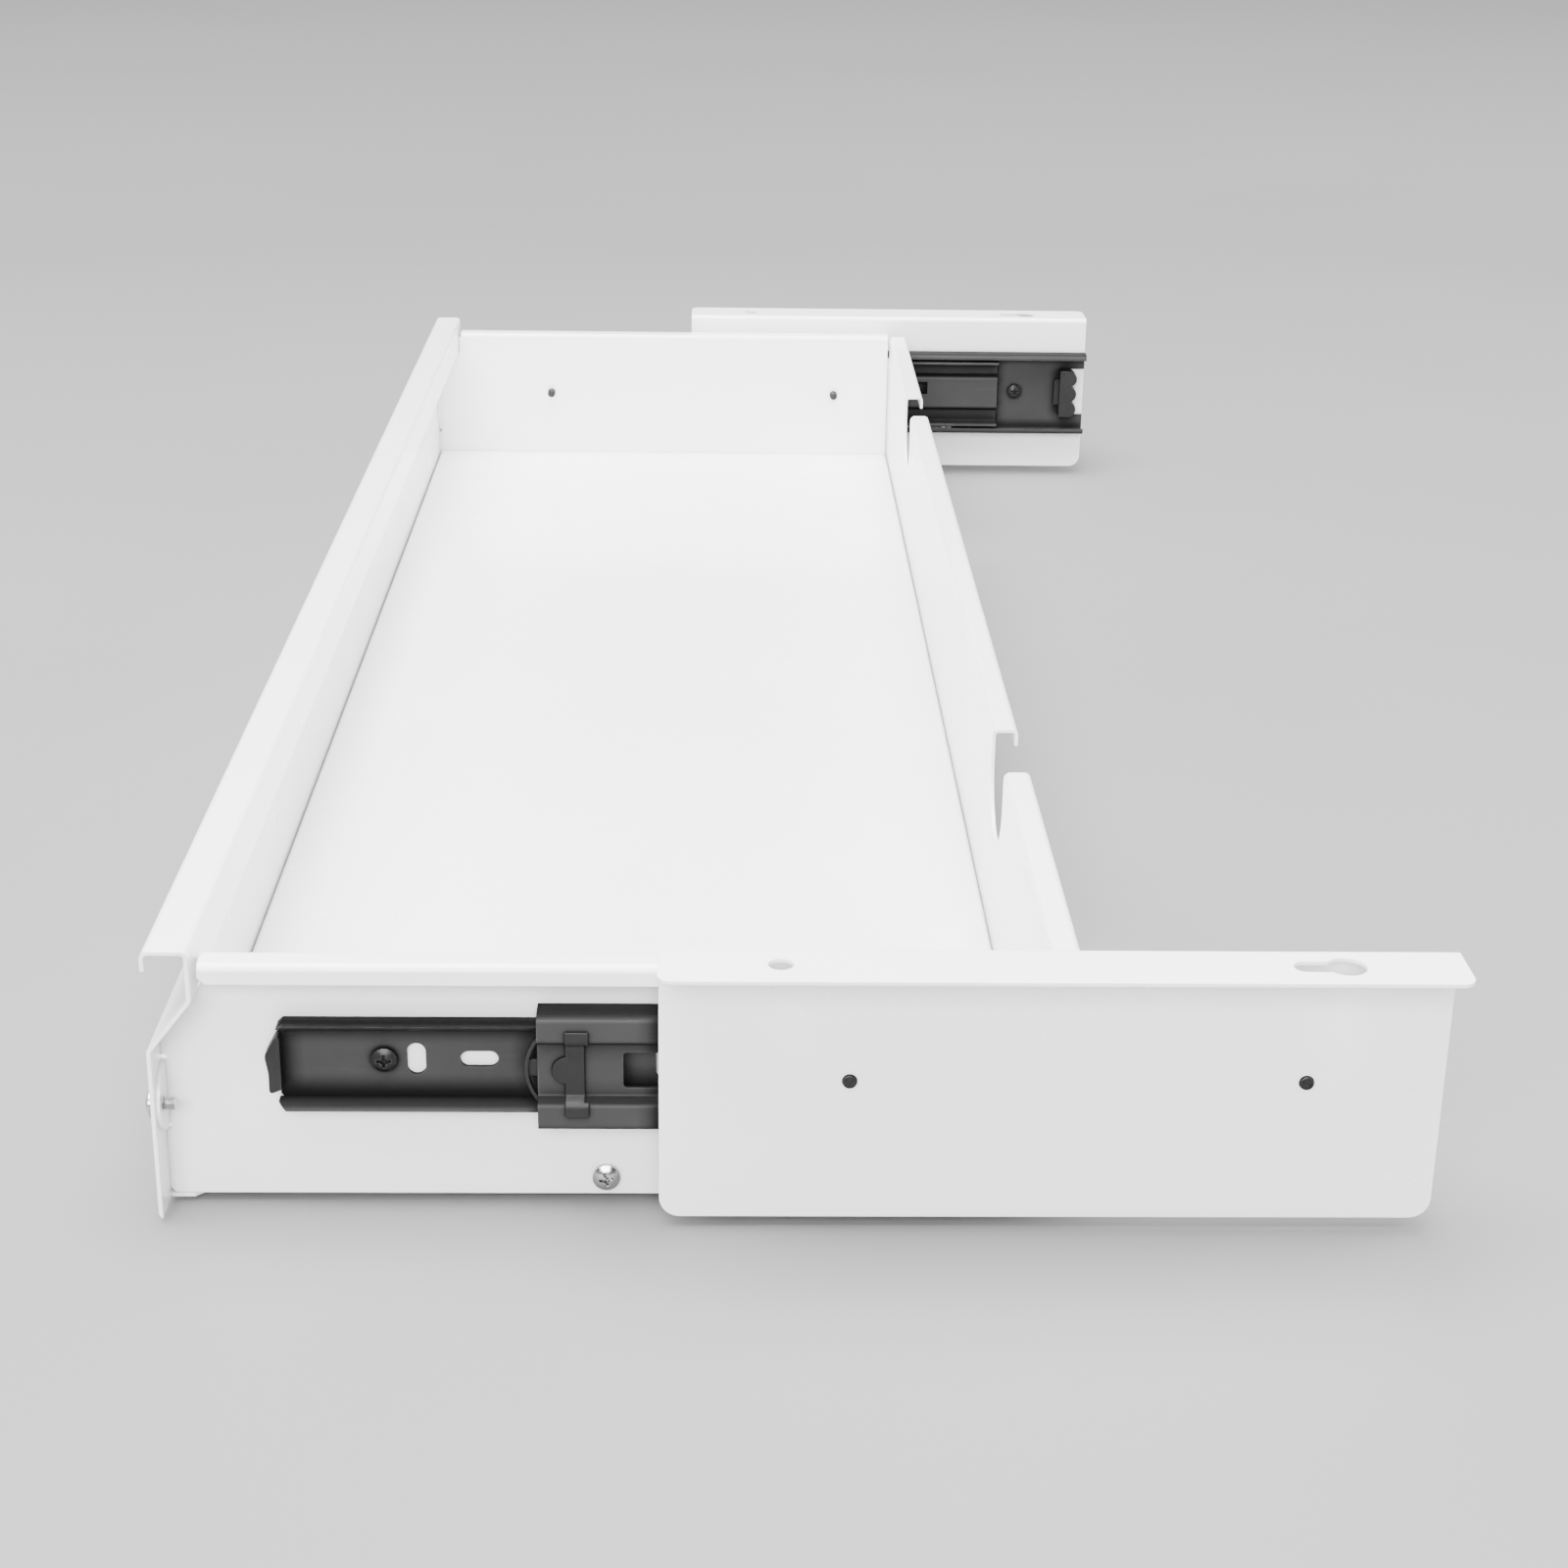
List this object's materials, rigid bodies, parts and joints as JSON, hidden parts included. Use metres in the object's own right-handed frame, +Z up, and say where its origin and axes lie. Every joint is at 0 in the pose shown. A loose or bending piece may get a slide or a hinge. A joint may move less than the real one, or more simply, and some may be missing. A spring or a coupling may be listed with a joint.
{
  "type": "under-desk drawer on ball-bearing slides",
  "caption": "Shallow white steel under-desk drawer on a pair of black three-member ball-bearing slides, each hung from an L-shaped desk bracket.",
  "frame": {"origin": "midway between the two round flange screw holes, in the plane of the underside of the desk", "axes": "+Z points up at the desk, the drawer opens towards -Y, and +X is to the right of a person who faces the drawer's front; parts named right are at +X"},
  "size_m": [0.8694, 0.364, 0.0861],
  "materials": {
    "white_coat": "satin powder coat",
    "slide_black": "satin black electro-coat",
    "screw_black": "black zinc",
    "screw_chrome": "bright nickel plate",
    "buffer_plastic": "matte moulded",
    "cage_steel": "zinc-plated strip",
    "ball_steel": "polished, lightly greased"
  },
  "bodies": {
    "root": {"right_bracket": "white_coat", "left_bracket": "white_coat", "right_cabinet_member": "slide_black", "left_cabinet_member": "slide_black", "right_cabinet_screws": "screw_black", "left_cabinet_screws": "screw_black", "right_rear_buffer": "buffer_plastic", "left_rear_buffer": "buffer_plastic"},
    "right_intermediate": {"right_intermediate_member": "slide_black", "right_intermediate_buffer": "buffer_plastic"},
    "left_intermediate": {"left_intermediate_member": "slide_black", "left_intermediate_buffer": "buffer_plastic"},
    "right_outer_cage": {"right_outer_ball_cage": "cage_steel", "right_outer_balls": "ball_steel"},
    "left_outer_cage": {"left_outer_ball_cage": "cage_steel", "left_outer_balls": "ball_steel"},
    "right_inner_cage": {"right_inner_ball_cage": "cage_steel", "right_inner_balls": "ball_steel"},
    "left_inner_cage": {"left_inner_ball_cage": "cage_steel", "left_inner_balls": "ball_steel"},
    "drawer": {"right_drawer_member": "slide_black", "left_drawer_member": "slide_black", "right_drawer_member_screws": "screw_black", "left_drawer_member_screws": "screw_black", "right_drawer_member_buffer": "buffer_plastic", "left_drawer_member_buffer": "buffer_plastic", "right_lever_rivet": "cage_steel", "left_lever_rivet": "cage_steel", "right_side_panel": "white_coat", "left_side_panel": "white_coat", "front_panel": "white_coat", "rear_panel": "white_coat", "floor_panel": "white_coat", "front_panel_screws": "screw_chrome", "floor_screws": "screw_chrome", "rear_corner_screws": "screw_chrome"},
    "right_lever": {"right_release_lever": "buffer_plastic"},
    "left_lever": {"left_release_lever": "buffer_plastic"}
  },
  "joints": [
    {"name": "intermediate_slide", "type": "slide", "parent": "root", "child": "right_intermediate", "axis": [0, -1, 0], "range_m": [-0.034, 0.071]},
    {"name": "left_intermediate_slide", "type": "slide", "parent": "root", "child": "left_intermediate", "axis": [0, -1, 0], "range_m": [-0.034, 0.071]},
    {"name": "right_outer_cage_slide", "type": "slide", "parent": "root", "child": "right_outer_cage", "axis": [0, -1, 0], "range_m": [-0.017, 0.0355]},
    {"name": "left_outer_cage_slide", "type": "slide", "parent": "root", "child": "left_outer_cage", "axis": [0, -1, 0], "range_m": [-0.017, 0.0355]},
    {"name": "drawer_slide", "type": "slide", "parent": "right_intermediate", "child": "drawer", "axis": [0, -1, 0], "range_m": [-0.073, 0.037]},
    {"name": "right_inner_cage_slide", "type": "slide", "parent": "right_intermediate", "child": "right_inner_cage", "axis": [0, -1, 0], "range_m": [-0.0365, 0.0185]},
    {"name": "left_inner_cage_slide", "type": "slide", "parent": "left_intermediate", "child": "left_inner_cage", "axis": [0, -1, 0], "range_m": [-0.0365, 0.0185]},
    {"name": "right_lever_hinge", "type": "hinge", "parent": "drawer", "child": "right_lever", "pos_m": [0.40235, -0.0183, -0.0407], "axis": [1, 0, 0], "range_deg": [-6, 6]},
    {"name": "left_lever_hinge", "type": "hinge", "parent": "drawer", "child": "left_lever", "pos_m": [-0.40235, -0.0183, -0.0407], "axis": [1, 0, 0], "range_deg": [-6, 6]}
  ],
  "couplings": [
    {"joint": "left_intermediate_slide", "follows": "intermediate_slide", "ratio": 1},
    {"joint": "right_outer_cage_slide", "follows": "intermediate_slide", "ratio": 0.5},
    {"joint": "left_outer_cage_slide", "follows": "intermediate_slide", "ratio": 0.5},
    {"joint": "right_inner_cage_slide", "follows": "drawer_slide", "ratio": 0.5},
    {"joint": "left_inner_cage_slide", "follows": "drawer_slide", "ratio": 0.5}
  ]
}
